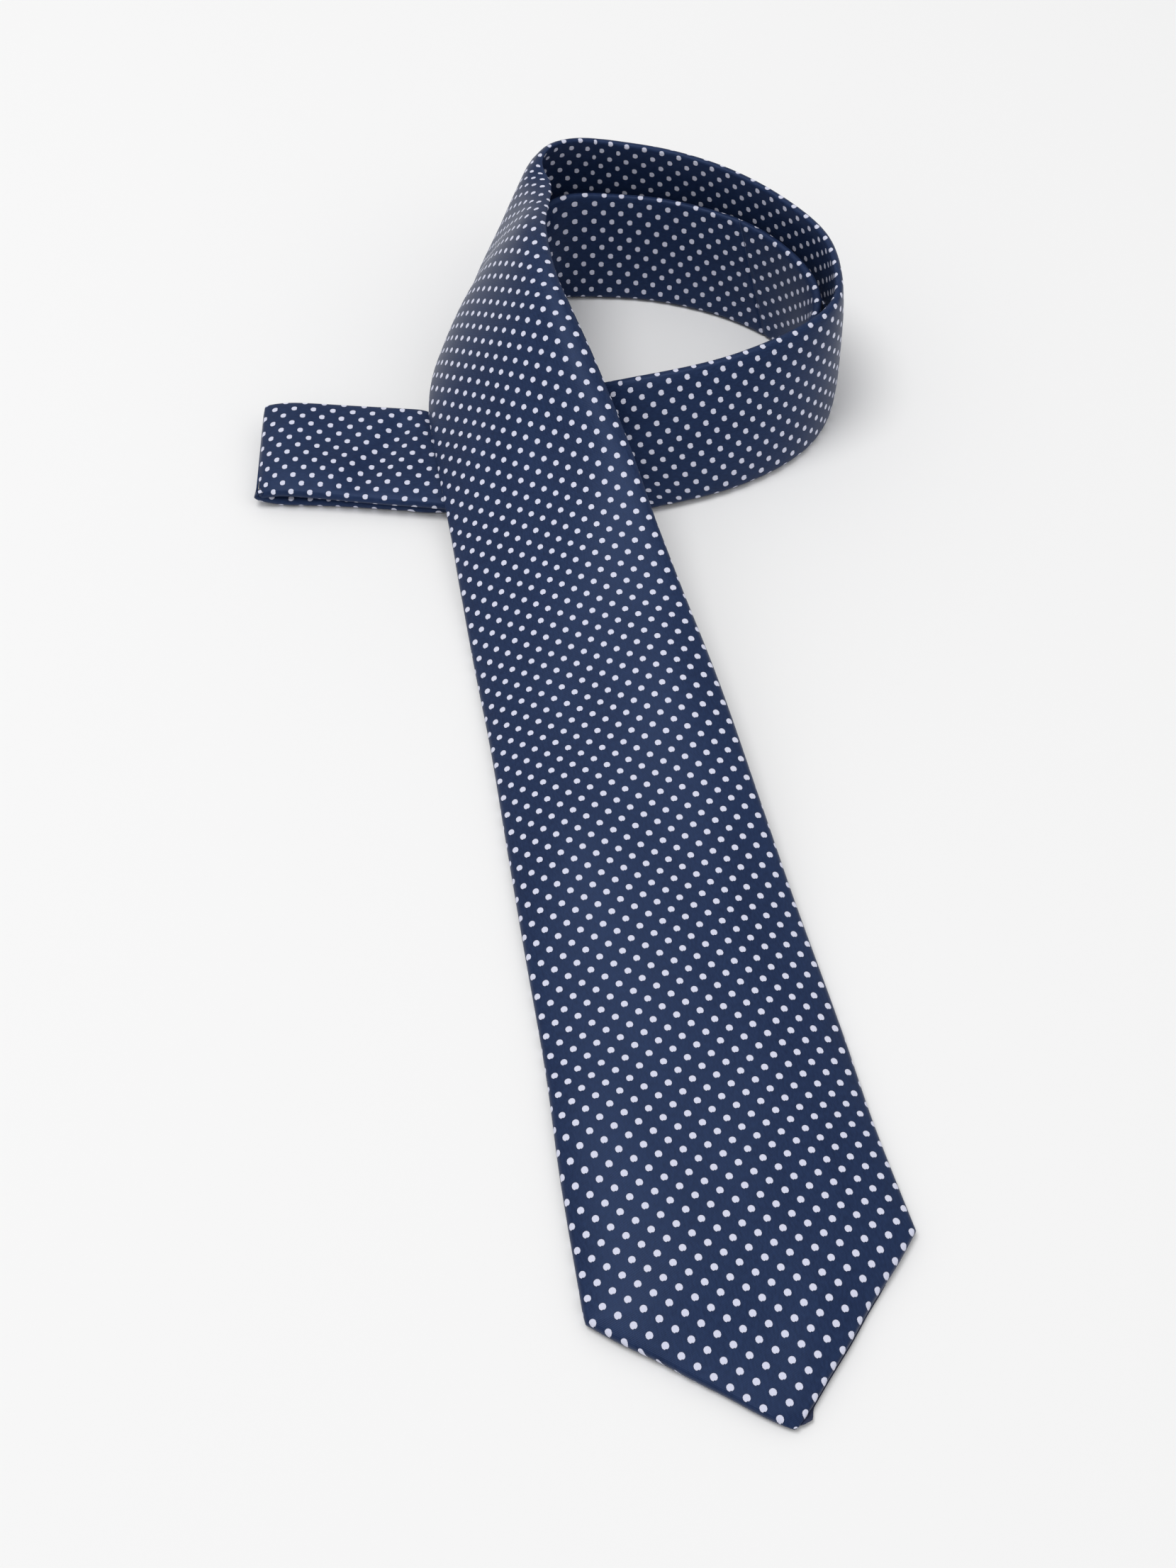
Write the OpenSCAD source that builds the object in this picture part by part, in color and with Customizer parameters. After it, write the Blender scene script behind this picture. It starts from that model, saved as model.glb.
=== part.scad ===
// Necktie, coiled for display: the wide blade lies over its own loop, the neck makes one
// folded side loop, and the narrow tail runs back under the blade through the keeper.
// The whole tie is one ribbon that follows a route from the wide tip to the narrow tip.
// Frame: +X across the blade, +Y from the wide tip towards the coil, +Z up, z = 0 the table.

/* [Tie] */
// Width of the wide blade at its shoulders
blade_w = 79.4; // [76:0.2:80]
// Width of the tie where the coil's front band passes
band_w = 40.8; // [38:0.2:42]
// Width of the neck in the side loop
neck_w = 34.7; // [33:0.1:36]
// Width of the narrow tail at its shoulders
tail_w = 44; // [40:0.5:46]
// Thickness of the finished tie
tie_t = 2.6; // [2.4:0.1:2.8]
// Length of the pointed end of the wide blade
point_l = 35; // [32:1:38]

/* [Layers] */
// Thickness of the folded silk
silk_t = 0.45; // [0.35:0.05:0.5]
// Thickness of the wool interlining
interlining_t = 1.2; // [1:0.05:1.25]
// Thickness of the tipping cloth
tipping_t = 0.2; // [0.15:0.05:0.25]
// Half of the opening between the folded edges at the centre back
seam_gap = 0.35; // [0.3:0.05:0.5]

/* [Trim] */
// Width of the keeper loop, along the tie
keeper_w = 10; // [6:1:14]
// Inner width of the keeper loop, across the tie
keeper_in = 48; // [46:1:50]
// Thickness of the keeper loop's strap
keeper_t = 0.4; // [0.3:0.05:0.5]
// Length of the blank label
label_l = 20; // [14:1:24]
// Width of the blank label
label_w = 36; // [20:1:40]
// Thickness of the labels and of the bar tacks
label_t = 0.25; // [0.2:0.05:0.3]

/* [Hidden] */

navy = [0.10, 0.16, 0.30];
wool = [0.86, 0.84, 0.78];
lining = [0.07, 0.10, 0.20];
thread = [0.16, 0.22, 0.38];
label = [0.90, 0.90, 0.88];

// Stations of the route: centre x and y, height of the low edge, heading and slope of the
// line across the tie in degrees, and how far the middle stands proud of the edges
route = [
  [0, -285, 0, 0, 0, 0],
  [0, -268, 0, 0, 0, 1],
  [0, -250, 0, 0, 0, 3.2],
  [0, -220, 0, 0, 0, 4.4],
  [1, -190, 0, 0, 0, 4.4],
  [1, -155, 0, 0, 2, 4.4],
  [1, -125, 0, -1, 6, 4.5],
  [1, -90, 0, -1, 11, 4],
  [0, -60, 0, -2, 16, 3.5],
  [-1, -35, 1.5, -2, 22, 3],
  [-2, -12, 3.5, -2, 30, 2.5],
  [-4.5, 15, 7.5, -1, 40, 2.5],
  [-6, 40, 10, 3, 48, 2.5],
  [-2, 64, 10, 7, 54, 3],
  [5.5, 84, 6, 11, 57, 3.5],
  [12.5, 100, 3.5, 15, 62, 4.5],
  [22, 109, 2, 20, 72, 3.5],
  [35, 112, 0.5, 30, 83, 2],
  [48, 110, 0, 80, 88, 1],
  [64, 103, 0, 70, 88, 1],
  [79, 92, 0, 50, 88, 1],
  [91.5, 77, 0, 30, 88, 1],
  [100.3, 59, 0, 10, 88, 1],
  [101.3, 42, 0, 90, 90, 1],
  [96.3, 26, 0, 110, 86, 1.5],
  [81, 13.5, 0, 105, 75, 1.5],
  [58, 6.8, 0, 98, 64, 2],
  [30, 6.6, 0, 88, 50, 2],
  [4, 13, 2.5, 78, 18, 1],
  [-26, 22.6, 3.1, 76, 6, 1],
  [-36, 25.6, 3.1, 76, 7, 1],
  [-54, 31.4, 3.2, 77, 7, 1],
  [-71, 36, 3.8, 79, 7, 1],
  [-78.6, 38, 1.9, 80, 7, 0],
  [-71, 36, 0, 79, 7, 0],
  [-54, 31.4, 0, 77, 7, 0],
  [-36, 25.6, 0, 76, 6, 0],
  [-26, 22.6, 0, 76, 5, 0],
  [4, 17.5, 0, 78, 18, 0],
  [30, 11.5, 0, 88, 50, -1],
  [58, 10, 0, 98, 63, -1],
  [78, 17, 0, 105, 76, 0],
  [91, 28, 0, 110, 86, 1],
  [96, 44, 0, 60, 88, 1],
  [92, 62, 0, 50, 86, 0],
  [80, 79, 0, 60, 80, 0],
  [62, 92, 0, 75, 77, 0],
  [44, 99, 0, 85, 76, 0],
  [28, 101, 0.6, 50, 74, 0],
  [16, 94, 1, 22, 66, 0],
  [8, 80, 2, 14, 55, 0],
  [1, 62, 7, 9, 46, 0],
  [0, 40, 12, 5, 39, 0],
  [0, 14, 12.5, 1, 31, 0],
  [1, -12, 6, 0, 21, 0],
  [1, -35, 1.5, -1, 12, 0],
  [1, -60, 0, -1, 8, 0],
  [1, -90, 0.8, 0, 5, 0],
  [1, -125, 0.2, 0, 2, 0],
  [1, -155, 0, 0, 0, 0],
  [1, -190, 0, 0, 0, 0],
  [0, -225, 0, 0, 0, 0],
  [0, -250, 0, 0, 0, 0],
];

// The middle of the tie's outline on the table, which the model is centred on
origin = [11.3, -84.5];

// Stations where the pieces begin and end
fold_tip = 4;
fold_lower = 6;
fold_middle = 8;
corner = 15;
right_end = 22;
neck_join = 28;
loop_out = 30;
loop_back = 36;
neck_turn = 41;
tail_join = 45;
tail_corner = 48;
tail_fold_middle = 56;
tail_fold_lower = 58;
tail_fold_tip = 60;
tail_end = 62;

steps = 2;          // rings from one station to the next
fold_gap = 0.2;     // each side of a fold line between two bodies
seam_half = 0.15;   // each side of a sewn join
thread_clear = 0.03; // between a join's thread and the panels
point_w = 5;        // width of the ribbon at each point
tail_point_l = 22;  // length of the pointed end of the tail
edge = 1.2;         // the folded edge's rounding
clear = 0.1;        // between layers that lie on each other
hem = 14;           // silk turned to the back at the shoulders
tack_s = 110;       // distance from the wide tip to the bar tack
tail_tack = 80;     // the same from the narrow tip
crown_half = 0.9;   // height of the crown halfway to the edge
stretch = 3.6;      // how much a crown shortens the width

// Catmull-Rom curve through the stations
function curve(a, b, c, d, t) =
  0.5 * (2 * b + (c - a) * t + (2 * a - 5 * b + 4 * c - d) * t * t
         + (3 * b - a - 3 * c + d) * t * t * t);

function unit(v) = v / norm(v);

last = len(route) - 1;
stations = [for (r = route)
  [r[0], r[1], r[2], cos(r[4]) * cos(r[3]), cos(r[4]) * sin(r[3]), sin(r[4]), r[5]]];

rows = [for (i = [0:last - 1], k = [0:steps - 1])
          curve(stations[max(i - 1, 0)], stations[i], stations[i + 1],
                stations[min(i + 2, last)], k / steps),
        stations[last]];
count = len(rows);

function plan(i) = [rows[i][0], rows[i][1]];

// Distance along the plan of the route
dist = [for (i = 0, s = 0; i < count;
             s = s + (i + 1 < count ? norm(plan(i + 1) - plan(i)) : 0), i = i + 1) s];
total = dist[count - 1];

widths = [[0, point_w], [point_l, blade_w], [250, 61.5], [320, 59.5], [420, 49],
          [575, band_w], [765, neck_w], [885, neck_w], [1090, 36],
          [total - tail_point_l, tail_w], [total, point_w]];

function ribbon_w(i) =
  let (w = lookup(dist[i], widths)) w - stretch * pow(rows[i][6], 2) / w;

function lean(i) = unit([rows[i][3], rows[i][4], rows[i][5]]);

centres = [for (i = [0:count - 1]) let (a = lean(i))
  [rows[i][0] - origin.x, rows[i][1] - origin.y,
   max(0, rows[i][2]) + ribbon_w(i) / 2 * abs(a.z) + tie_t / 2 * sqrt(max(0, 1 - a.z * a.z))]];

function along(i) = unit(centres[min(i + 1, count - 1)] - centres[max(i - 1, 0)]);

// One ring's frame: centre, across, front normal and along
frames = [for (i = [0:count - 1])
  let (t = along(i), a = lean(i), b = unit(a - (a * t) * t)) [centres[i], b, cross(b, t), t]];

// Height of the crown at u, from the middle of a ribbon of half width h
function crown(i, u, h) =
  rows[i][6] * lookup(abs(u) / h, [[0, 1], [0.5, crown_half], [1, 0]]);

function place(i, shift, u, v) =
  let (f = frames[i]) f[0] + shift * f[3] + u * f[1] + (v + crown(i, u, ribbon_w(i) / 2)) * f[2];

// Half of the opening at the back: wide over the tipping, closed above the bar tack
function opening(i) =
  let (h = ribbon_w(i) / 2, s = dist[i], e = total - s)
  s < tack_s ? min(max(0.15 * h, h - hem - 3),
                   lookup(s, [[point_l, blade_w / 2 - hem], [tack_s, seam_gap]]))
  : e < tail_tack ? min(max(0.15 * h, h - hem + 2),
                        lookup(e, [[tail_point_l, tail_w / 2 - hem + 4], [tail_tack, seam_gap]]))
  : seam_gap;

// A chain of points round the tie, inset by d from its outside
function around(i, d) =
  let (h = ribbon_w(i) / 2, r = h - edge - d, g = opening(i), v = tie_t / 2 - d,
       half = min(h / 2, 0.75 * r), m = g < half ? half : (g + r) / 2)
  [[-g, -v], [-m, -v], [-r, -v], [-(h - d), 0], [-r, v], [-half, v], [0, v],
   [half, v], [r, v], [h - d, 0], [r, -v], [m, -v], [g, -v]];

// A chain of points across the tie at height v, stopping short of the edge
function flat(i, inset, v) =
  let (h = ribbon_w(i) / 2, r = max(h - inset, 0.55 * h))
  [[-r, v], [-h / 2, v], [0, v], [h / 2, v], [r, v]];

// The two chains of each kind of layer
function layer(kind, i) =
  kind == "silk" ? [around(i, 0), around(i, silk_t)]
  : kind == "interlining"
    ? [flat(i, edge + silk_t + clear, interlining_t - 0.45), flat(i, edge + silk_t + clear, -0.45)]
  : kind == "tipping"
    ? [flat(i, edge + 3 * silk_t, -0.5), flat(i, edge + 3 * silk_t, -0.5 - tipping_t)]
  : [[[-0.2, silk_t - tie_t / 2], [0.2, silk_t - tie_t / 2]], [[-0.2, -tie_t / 2], [0.2, -tie_t / 2]]];

// One ring of a layer: its first chain, then its second chain backwards
function layer_ring(kind, i, shift) =
  let (chains = layer(kind, i), size = len(chains[0]))
  [for (p = chains[0]) place(i, shift, p.x, p.y),
   for (k = [size - 1:-1:0]) place(i, shift, chains[1][k].x, chains[1][k].y)];

// For each side of a ring, whether it runs towards the upper edge of the tie
function rising(kind, i) =
  let (chains = layer(kind, i), size = len(chains[0]),
       u = [for (p = chains[0]) p.x, for (k = [size - 1:-1:0]) chains[1][k].x])
  [for (k = [0:2 * size - 1]) u[(k + 1) % (2 * size)] > u[k]];

// A closed solid through rings that hold the same number of points. Every side is cut along
// the diagonal that runs towards the upper edge, so layers that lie on each other stay apart
module loft(rings, up) {
  loop = len(rings[0]);
  span = len(rings) - 1;
  sides = [for (j = [0:span - 1], k = [0:loop - 1])
           let (a = j * loop + k, b = j * loop + (k + 1) % loop, c = b + loop, d = a + loop)
           each up[k] ? [[a, c, b], [a, d, c]] : [[a, d, b], [b, d, c]]];
  first = [for (a = [0:loop / 2 - 2]) let (b = a + 1, c = loop - 1 - b, d = loop - 1 - a)
           each [[a, b, c], [a, c, d]]];
  final = [for (f = first) [for (k = [2:-1:0]) f[k] + span * loop]];
  polyhedron(points = [for (r = rings) each r], faces = concat(sides, first, final));
}

// The layer as a solid between two rings of the route
module ribbon(kind, from, to, trim_from = 0, trim_to = 0)
  loft([for (i = [from:to])
        layer_ring(kind, i, i == from ? trim_from : i == to ? -trim_to : 0)],
       rising(kind, from + 1));

function ring(station) = station * steps;

module silk(from, to, trim_from = 0, trim_to = 0)
  color(navy) ribbon("silk", ring(from), ring(to), trim_from, trim_to);

module core(from, to, trim_from = 0, trim_to = 0)
  color(wool) ribbon("interlining", ring(from), ring(to), trim_from, trim_to);

module stitch(from, to, trim_from = 0, trim_to = 0)
  color(thread) ribbon("stitch", ring(from), ring(to), trim_from, trim_to);

// A flat patch on the tie's back, in the plane of one ring
module patch(i, w, l, t) {
  f = frames[i];
  top = rows[i][6] * lookup(w / ribbon_w(i), [[0, 1], [0.5, crown_half], [1, 0]])
        - tie_t / 2 - 2 * clear;
  multmatrix([[f[1].x, f[3].x, f[2].x, f[0].x],
              [f[1].y, f[3].y, f[2].y, f[0].y],
              [f[1].z, f[3].z, f[2].z, f[0].z],
              [0, 0, 0, 1]])
    translate([-w / 2, -l / 2, top - t]) cube([w, l, t]);
}

// Silk panels
module blade_panel_tip() silk(0, fold_tip, 0, fold_gap);
module blade_panel_lower() silk(fold_tip, fold_lower, fold_gap, fold_gap);
module blade_panel_middle() silk(fold_lower, fold_middle, fold_gap, fold_gap);
module blade_panel_crossing() silk(fold_middle, corner, fold_gap, 0);
module blade_panel_back() silk(corner, right_end);
module blade_panel_front() silk(right_end, neck_join, 0, seam_half);
module neck_panel_outer() silk(neck_join, loop_out, seam_half, fold_gap);
module neck_panel_loop() silk(loop_out, loop_back, fold_gap, fold_gap);
module neck_panel_inner() silk(loop_back, neck_turn, fold_gap, 0);
module neck_panel_end() silk(neck_turn, tail_join, 0, seam_half);
module tail_panel_back() silk(tail_join, tail_corner, seam_half, 0);
module tail_panel_turn() silk(tail_corner, tail_fold_middle, 0, fold_gap);
module tail_panel_middle() silk(tail_fold_middle, tail_fold_lower, fold_gap, fold_gap);
module tail_panel_lower() silk(tail_fold_lower, tail_fold_tip, fold_gap, fold_gap);
module tail_panel_tip() silk(tail_fold_tip, tail_end, fold_gap, 0);

// Interlining, one run in each body
module interlining_tip() {
  core(0, fold_tip, 2, fold_gap);
  core(tail_fold_tip, tail_end, fold_gap, 2);
}
module interlining_lower() {
  core(fold_tip, fold_lower, fold_gap, fold_gap);
  core(tail_fold_lower, tail_fold_tip, fold_gap, fold_gap);
}
module interlining_middle() {
  core(fold_lower, fold_middle, fold_gap, fold_gap);
  core(tail_fold_middle, tail_fold_lower, fold_gap, fold_gap);
}
module interlining_outer() core(fold_middle, loop_out, fold_gap, fold_gap);
module interlining_loop() core(loop_out, loop_back, fold_gap, fold_gap);
module interlining_inner() core(loop_back, tail_fold_middle, fold_gap, fold_gap);

// Tipping cloth behind each point
module blade_tipping() color(lining) ribbon("tipping", 0, ring(fold_tip), 4, fold_gap);
module tail_tipping() color(lining) ribbon("tipping", ring(tail_fold_tip), ring(tail_end), fold_gap, 3);

// The two sewn joins between panels
module join_seam(station)
  color(thread) loft([for (side = [-1, 1])
                      layer_ring("silk", ring(station), side * (seam_half - thread_clear))],
                     rising("silk", ring(station)));
module neck_join_seam() join_seam(neck_join);
module tail_join_seam() join_seam(tail_join);

// Slip stitch that closes the centre back, one run in each body
module slip_stitch_lower() {
  stitch(fold_tip + 1, fold_lower, 0, fold_gap);
  stitch(tail_fold_lower, tail_fold_lower + 1, fold_gap, 0);
}
module slip_stitch_middle() {
  stitch(fold_lower, fold_middle, fold_gap, fold_gap);
  stitch(tail_fold_middle, tail_fold_lower, fold_gap, fold_gap);
}
module slip_stitch_outer() {
  stitch(fold_middle, neck_join, fold_gap, seam_half);
  stitch(neck_join, loop_out, seam_half, fold_gap);
}
module slip_stitch_loop() stitch(loop_out, loop_back, fold_gap, fold_gap);
module slip_stitch_inner() {
  stitch(loop_back, tail_join, fold_gap, seam_half);
  stitch(tail_join, tail_fold_middle, seam_half, fold_gap);
}

// Bar tacks where the back opens over the tipping
module blade_bar_tack() color(thread) patch(ring(fold_tip) + 1, 8, 2, label_t);
module tail_bar_tack() color(thread) patch(ring(tail_fold_tip) - 1, 6, 2, label_t);

// Keeper: a strap sewn to the blade's back that passes under the tail. The blade rises
// towards the right here, so the strap's right side is taller
module keeper_loop() {
  i = ring(fold_lower + 1);
  c = centres[i];
  a = keeper_in / 2;
  b = a + keeper_t;
  left = 3;
  right = 11.5;
  slant = 2.8;
  color(navy) translate([c.x, c.y + keeper_w / 2, 0]) rotate([90, 0, 0])
    linear_extrude(keeper_w)
      polygon([[-b, 0], [b, slant], [b, right], [a, right], [a, slant + keeper_t],
               [-a, keeper_t], [-a, left], [-b, left]]);
}

module blank_label() color(label) translate([0, 0, -0.5])
  patch(ring(fold_lower + 1) - 1, label_w, label_l, label_t);
module care_label() color(label) patch(ring(fold_tip + 1), 18, 24, label_t);

blade_panel_tip();
blade_panel_lower();
blade_panel_middle();
blade_panel_crossing();
blade_panel_back();
blade_panel_front();
neck_panel_outer();
neck_panel_loop();
neck_panel_inner();
neck_panel_end();
tail_panel_back();
tail_panel_turn();
tail_panel_middle();
tail_panel_lower();
tail_panel_tip();
interlining_tip();
interlining_lower();
interlining_middle();
interlining_outer();
interlining_loop();
interlining_inner();
blade_tipping();
tail_tipping();
neck_join_seam();
tail_join_seam();
slip_stitch_lower();
slip_stitch_middle();
slip_stitch_outer();
slip_stitch_loop();
slip_stitch_inner();
blade_bar_tack();
tail_bar_tack();
keeper_loop();
blank_label();
care_label();
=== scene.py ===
"""Necktie coiled for display: every layer of cloth is swept along the tie's own route."""
import math

import bpy
import numpy as np
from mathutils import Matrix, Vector


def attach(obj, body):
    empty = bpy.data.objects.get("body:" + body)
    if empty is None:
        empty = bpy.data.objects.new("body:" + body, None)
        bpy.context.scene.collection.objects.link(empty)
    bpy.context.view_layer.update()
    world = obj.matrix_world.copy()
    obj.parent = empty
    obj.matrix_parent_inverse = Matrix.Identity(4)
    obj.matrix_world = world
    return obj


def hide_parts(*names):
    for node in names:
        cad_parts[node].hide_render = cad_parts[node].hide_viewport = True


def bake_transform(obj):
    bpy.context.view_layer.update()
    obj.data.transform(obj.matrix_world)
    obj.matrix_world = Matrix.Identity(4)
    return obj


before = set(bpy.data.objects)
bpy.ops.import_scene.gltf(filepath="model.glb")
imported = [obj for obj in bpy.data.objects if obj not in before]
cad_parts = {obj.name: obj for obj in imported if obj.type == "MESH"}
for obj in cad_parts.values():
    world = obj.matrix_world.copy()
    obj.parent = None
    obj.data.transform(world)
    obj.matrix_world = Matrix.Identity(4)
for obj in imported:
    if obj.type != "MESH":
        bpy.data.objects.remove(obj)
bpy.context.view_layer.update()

MM = 0.001

# Stations of the route, in millimetres and degrees: centre x and y, height of the low edge,
# heading and slope of the line across the tie, and how far the middle stands proud
ROUTE = np.array([
    (0, -285, 0, 0, 0, 0),
    (0, -268, 0, 0, 0, 1),
    (0, -250, 0, 0, 0, 3.2),
    (0, -220, 0, 0, 0, 4.4),
    (1, -190, 0, 0, 0, 4.4),
    (1, -155, 0, 0, 2, 4.4),
    (1, -125, 0, -1, 6, 4.5),
    (1, -90, 0, -1, 11, 4),
    (0, -60, 0, -2, 16, 3.5),
    (-1, -35, 1.5, -2, 22, 3),
    (-2, -12, 3.5, -2, 30, 2.5),
    (-4.5, 15, 7.5, -1, 40, 2.5),
    (-6, 40, 10, 3, 48, 2.5),
    (-2, 64, 10, 7, 54, 3),
    (5.5, 84, 6, 11, 57, 3.5),
    (12.5, 100, 3.5, 15, 62, 4.5),
    (22, 109, 2, 20, 72, 3.5),
    (35, 112, 0.5, 30, 83, 2),
    (48, 110, 0, 80, 88, 1),
    (64, 103, 0, 70, 88, 1),
    (79, 92, 0, 50, 88, 1),
    (91.5, 77, 0, 30, 88, 1),
    (100.3, 59, 0, 10, 88, 1),
    (101.3, 42, 0, 90, 90, 1),
    (96.3, 26, 0, 110, 86, 1.5),
    (81, 13.5, 0, 105, 75, 1.5),
    (58, 6.8, 0, 98, 64, 2),
    (30, 6.6, 0, 88, 50, 2),
    (4, 13, 2.5, 78, 18, 1),
    (-26, 22.6, 3.1, 76, 6, 1),
    (-36, 25.6, 3.1, 76, 7, 1),
    (-54, 31.4, 3.2, 77, 7, 1),
    (-71, 36, 3.8, 79, 7, 1),
    (-78.6, 38, 1.9, 80, 7, 0),
    (-71, 36, 0, 79, 7, 0),
    (-54, 31.4, 0, 77, 7, 0),
    (-36, 25.6, 0, 76, 6, 0),
    (-26, 22.6, 0, 76, 5, 0),
    (4, 17.5, 0, 78, 18, 0),
    (30, 11.5, 0, 88, 50, -1),
    (58, 10, 0, 98, 63, -1),
    (78, 17, 0, 105, 76, 0),
    (91, 28, 0, 110, 86, 1),
    (96, 44, 0, 60, 88, 1),
    (92, 62, 0, 50, 86, 0),
    (80, 79, 0, 60, 80, 0),
    (62, 92, 0, 75, 77, 0),
    (44, 99, 0, 85, 76, 0),
    (28, 101, 0.6, 50, 74, 0),
    (16, 94, 1, 22, 66, 0),
    (8, 80, 2, 14, 55, 0),
    (1, 62, 7, 9, 46, 0),
    (0, 40, 12, 5, 39, 0),
    (0, 14, 12.5, 1, 31, 0),
    (1, -12, 6, 0, 21, 0),
    (1, -35, 1.5, -1, 12, 0),
    (1, -60, 0, -1, 8, 0),
    (1, -90, 0.8, 0, 5, 0),
    (1, -125, 0.2, 0, 2, 0),
    (1, -155, 0, 0, 0, 0),
    (1, -190, 0, 0, 0, 0),
    (0, -225, 0, 0, 0, 0),
    (0, -250, 0, 0, 0, 0),
])
ORIGIN = np.array([11.3, -84.5])

# The tie, in millimetres
THICK = 2.5          # of the finished tie
SILK = 0.35          # of the silk itself
EDGE = 1.2           # rounding of a folded edge, across the tie
POINT = 0.4          # half width of the ribbon at each point's very end
ROUND = 1.1          # rounding of each point
POINT_LEFT = 31.5    # length of the wide point along its left side
POINT_RIGHT = 37.5   # the same along its right side
TAIL_POINT = 22      # length of the narrow point
STRETCH = 3.6        # how much a crown shortens the width
HEM = 14             # silk turned to the back at the shoulders
TACK = 110           # distance from the wide tip to its bar tack
TAIL_TACK = 80       # the same from the narrow tip
RING = 2.0           # distance from one ring of a mesh to the next

# Stations where a run of cloth begins or ends
HAIRPIN = 33
NECK_JOIN = 28
TAIL_JOIN = 45


def spline(points, steps):
    """The Catmull-Rom curve through the points, with that many steps from one to the next."""
    padded = np.vstack([points[:1], points, points[-1:]])
    t = np.linspace(0, 1, steps, endpoint=False)[:, None]
    spans = [
        0.5 * (2 * b + (c - a) * t + (2 * a - 5 * b + 4 * c - d) * t ** 2
               + (3 * b - a - 3 * c + d) * t ** 3)
        for a, b, c, d in zip(padded, padded[1:], padded[2:], padded[3:])
    ]
    return np.vstack(spans + [points[-1:]])


def unit(v):
    return v / np.maximum(np.linalg.norm(v, axis=-1, keepdims=True), 1e-9)


def smooth(x):
    """From 0 to 1, easing in and out, as x goes from 0 to 1."""
    x = np.clip(x, 0, 1)
    return x * x * (3 - 2 * x)


def bump(x, middle, reach):
    """1 at the middle, easing to 0 at that reach to either side."""
    return smooth(1 - np.abs(x - middle) / reach)


FINE = 24  # steps from one station to the next
heading, slope = np.radians(ROUTE[:, 3]), np.radians(ROUTE[:, 4])
stations = np.column_stack([
    ROUTE[:, :3],
    np.cos(slope) * np.cos(heading), np.cos(slope) * np.sin(heading), np.sin(slope),
    ROUTE[:, 5],
])
fine = spline(stations, FINE)
plan_steps = np.linalg.norm(np.diff(fine[:, :2], axis=0), axis=1)
# The hairpin of the side loop turns on the spot in plan, so a sliver of length keeps S rising
S = np.concatenate([[0], np.cumsum(np.maximum(plan_steps, 1e-4))])
TOTAL = S[-1]
AT = S[::FINE].copy()  # distance along the tie of each station
TAIL_JOIN_SHIFT = 8    # millimetres: the tail is sewn on a little before its station
AT[TAIL_JOIN] -= TAIL_JOIN_SHIFT

WIDTHS = np.array([
    (0, 79.4), (35, 79.4), (250, 61.5), (320, 59.5), (420, 49), (575, 40.8), (765, 34.7),
    (885, 34.7), (1090, 36), (TOTAL - TAIL_POINT, 44), (TOTAL, 44),
])

across_fine = unit(fine[:, 3:6])
crown_fine = fine[:, 6]


def full_half(s, crown):
    """Half of the tie's width, before its points are cut."""
    w = np.interp(s, WIDTHS[:, 0], WIDTHS[:, 1])
    return (w - STRETCH * crown ** 2 / w) / 2


half_fine = full_half(S, crown_fine)
taper_fine = np.minimum(1, np.minimum(S / 35, (TOTAL - S) / TAIL_POINT))
rise = half_fine * np.maximum(taper_fine, 0.06) * np.abs(across_fine[:, 2])
flatness = np.sqrt(np.maximum(0, 1 - across_fine[:, 2] ** 2))
centre_fine = np.column_stack([
    fine[:, :2] - ORIGIN, np.maximum(0, fine[:, 2]) + rise + THICK / 2 * flatness + 0.05,
])
along_fine = unit(np.gradient(centre_fine, axis=0))
lean = across_fine - (across_fine * along_fine).sum(1)[:, None] * along_fine
lean_fine = unit(lean)
front_fine = unit(np.cross(lean_fine, along_fine))
middle_fine = centre_fine + (THICK / 2 + crown_fine)[:, None] * front_fine
LENGTH = np.concatenate([[0], np.cumsum(np.linalg.norm(np.diff(middle_fine, axis=0), axis=1))])


def at(s, values):
    """A quantity of the fine route at the distances s, whatever their shape."""
    s = np.asarray(s, float)
    if values.ndim == 1:
        return np.interp(s, S, values)
    return np.stack([np.interp(s, S, values[:, k]) for k in range(values.shape[1])], axis=-1)


def tapered(s, length, wide):
    """Half width of a point at the distance s from its rounded end."""
    s = np.maximum(s, 0)
    return np.maximum(POINT, wide / (length + ROUND) * np.sqrt((s + ROUND) ** 2 - ROUND ** 2))


def half(s, side):
    """Half of the tie's width on one side: -1 is left and 1 is right, seen from its front."""
    body = full_half(s, at(s, crown_fine))
    left = np.asarray(side) < 0
    wide = tapered(s, np.where(left, POINT_LEFT, POINT_RIGHT), 39.0)
    narrow = tapered(TOTAL - s, TAIL_POINT, 22.0)
    # The sewn edges of the wide point are not quite straight
    wave = np.where(left, np.sin(s / 3.4 + 0.6) + np.sin(s / 1.9),
                    np.sin(s / 4.6) + np.sin(s / 2.3 + 1))
    wide = wide + 0.16 * wave * smooth(s / 8)
    return np.minimum(body, np.minimum(wide, narrow))


def ripple(s, x):
    """Soft waves in the cloth, in millimetres along its front: x runs from -1 to 1 across it."""
    inside = 1 - np.abs(x) ** 3
    waves = (0.45 * np.sin(s / 17.3 + 2.1 * x + 0.4) + 0.30 * np.sin(s / 9.7 - 3.4 * x + 2.2)
             + 0.22 * np.sin(s / 28.9 + 4.6 * x + 4.1))
    blade = smooth(s / 25) * smooth((AT[12] - s) / 60)
    crossing = smooth((s - AT[9]) / 40) * smooth((AT[16] - s) / 40)
    loop = bump(s, AT[31], 22)
    return inside * waves * (0.9 * blade + 0.5 * crossing + 0.8 * loop)


def roll(s, x):
    """The right edge rolls under where the blade rises into the coil."""
    rising = smooth((s - AT[9]) / 50) * smooth((AT[17] - s) / 25)
    return -2.2 * rising * np.clip((x - 0.78) / 0.22, 0, 1) ** 2


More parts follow.
